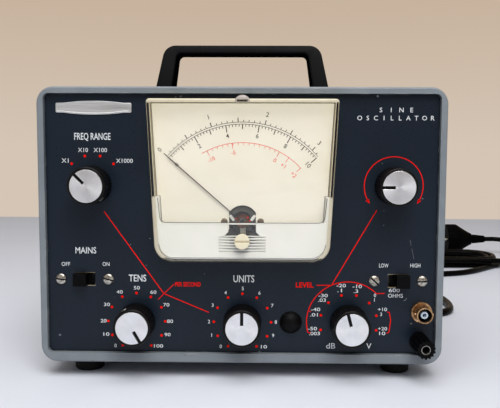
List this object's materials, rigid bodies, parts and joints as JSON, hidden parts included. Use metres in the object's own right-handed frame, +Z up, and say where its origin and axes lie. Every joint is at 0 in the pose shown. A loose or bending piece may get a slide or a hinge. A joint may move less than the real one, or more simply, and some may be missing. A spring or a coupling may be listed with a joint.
{
  "type": "audio signal generator",
  "caption": "Benchtop audio signal generator with a steel cabinet, output meter, rotary knobs, slide switches, output terminals, carrying handle and mains lead.",
  "frame": {"origin": "on the table, under the middle of the instrument without its mains lead", "axes": "+X to the right of the front panel, +Y to the rear, +Z up"},
  "size_m": [0.4659, 0.5316, 0.2062],
  "materials": {
    "cabinet_paint": "satin",
    "panel_paint": "matt",
    "nickel": "polished",
    "steel": "satin",
    "handle_plastic": "grained",
    "black_plastic": "glossy",
    "rubber": "matt",
    "spun_aluminium": "spun",
    "can_aluminium": "satin",
    "clear_plastic": "polished",
    "white_plastic": "glossy",
    "cream_paint": "matt",
    "brass": "satin",
    "laminations": "varnished",
    "magnet": "ground",
    "phenolic": "moulded",
    "tube_glass": "polished",
    "lamp_glass": "polished",
    "needle_paint": "matt",
    "ivory_plastic": "glossy",
    "dark_lens": "polished",
    "dielectric": "satin",
    "component_bodies": "moulded",
    "cord_jacket": "satin"
  },
  "bodies": {
    "instrument": {"cabinet_shell": "cabinet_paint", "rear_cover": "cabinet_paint", "case_screws": "nickel", "front_panel": "panel_paint", "carry_handle": "handle_plastic", "rubber_feet": "rubber", "chassis": "steel", "chassis_screws": "nickel", "power_transformer": "laminations", "filter_capacitor": "can_aluminium", "tube_sockets": "phenolic", "vacuum_tubes": "tube_glass", "stabiliser_lamp": "lamp_glass", "terminal_strips": "phenolic", "wired_components": "component_bodies", "meter_cover": "clear_plastic", "meter_mask": "white_plastic", "scale_plate": "cream_paint", "scale_plate_screws": "brass", "meter_case": "black_plastic", "meter_magnet": "magnet", "rotary_switches": "phenolic", "level_control": "steel", "panel_nuts": "nickel", "slide_switch_bodies": "steel", "slide_switch_screws": "nickel", "pilot_lens": "dark_lens", "pilot_lamp": "lamp_glass", "jack_shell": "brass", "jack_insulator": "dielectric", "jack_nut": "brass", "post_stud": "brass", "post_insulators": "black_plastic", "cord_strain_relief": "rubber", "cord_lead": "cord_jacket", "cord_coil": "cord_jacket", "cord_tail": "cord_jacket", "plug_body": "rubber", "plug_pins": "brass"},
    "multiplier_dial": {"multiplier_knob": "black_plastic", "multiplier_cap": "spun_aluminium", "multiplier_shaft": "steel"},
    "tens_dial": {"tens_knob": "black_plastic", "tens_cap": "spun_aluminium", "tens_shaft": "steel"},
    "units_dial": {"units_knob": "black_plastic", "units_cap": "spun_aluminium", "units_shaft": "steel"},
    "attenuator_dial": {"attenuator_knob": "black_plastic", "attenuator_cap": "spun_aluminium", "attenuator_shaft": "steel"},
    "level_dial": {"level_knob": "black_plastic", "level_cap": "spun_aluminium", "level_shaft": "steel"},
    "pointer": {"meter_pointer": "needle_paint"},
    "zero_screw": {"zero_adjuster": "ivory_plastic"},
    "zero_arm": {"zero_lever": "steel"},
    "power_switch": {"power_slider": "black_plastic"},
    "load_switch": {"load_slider": "black_plastic"},
    "terminal_cap": {"post_cap": "black_plastic"}
  },
  "joints": [
    {"name": "multiplier_turn", "type": "hinge", "parent": "instrument", "child": "multiplier_dial", "pos_m": [-0.0885, -0.0539, 0.1167], "axis": [0, 1, 0], "range_deg": [0, 90]},
    {"name": "tens_turn", "type": "hinge", "parent": "instrument", "child": "tens_dial", "pos_m": [-0.0631, -0.0539, 0.0341], "axis": [0, 1, 0], "range_deg": [-300, 0]},
    {"name": "units_turn", "type": "hinge", "parent": "instrument", "child": "units_dial", "pos_m": [0.0009, -0.0539, 0.0341], "axis": [0, 1, 0], "range_deg": [-150, 150]},
    {"name": "attenuator_turn", "type": "hinge", "parent": "instrument", "child": "attenuator_dial", "pos_m": [0.0649, -0.0539, 0.0341], "axis": [0, 1, 0], "range_deg": [-90, 120]},
    {"name": "level_turn", "type": "hinge", "parent": "instrument", "child": "level_dial", "pos_m": [0.0903, -0.0539, 0.1167], "axis": [0, 1, 0], "range_deg": [-60, 240]},
    {"name": "pointer_swing", "type": "hinge", "parent": "instrument", "child": "pointer", "pos_m": [0.0009, -0.0539, 0.09525], "axis": [0, 1, 0], "range_deg": [0, 97.6], "stiffness_Nm_per_rad": 0.00002},
    {"name": "zero_adjuster_turn", "type": "hinge", "parent": "instrument", "child": "zero_screw", "pos_m": [0.0009, -0.0539, 0.08505], "axis": [0, 1, 0], "range_deg": [-40, 40]},
    {"name": "zero_lever_turn", "type": "hinge", "parent": "instrument", "child": "zero_arm", "pos_m": [0.0009, -0.0539, 0.09525], "axis": [0, 1, 0], "range_deg": [-4.3, 4.3]},
    {"name": "power_slide", "type": "slide", "parent": "instrument", "child": "power_switch", "axis": [1, 0, 0], "range_m": [0, 0.0046]},
    {"name": "load_slide", "type": "slide", "parent": "instrument", "child": "load_switch", "axis": [-1, 0, 0], "range_m": [0, 0.0046]},
    {"name": "post_cap_slide", "type": "slide", "parent": "instrument", "child": "terminal_cap", "axis": [0, -1, 0], "range_m": [0, 0.005]}
  ],
  "couplings": [
    {"joint": "zero_lever_turn", "follows": "zero_adjuster_turn", "ratio": 0.10526}
  ]
}
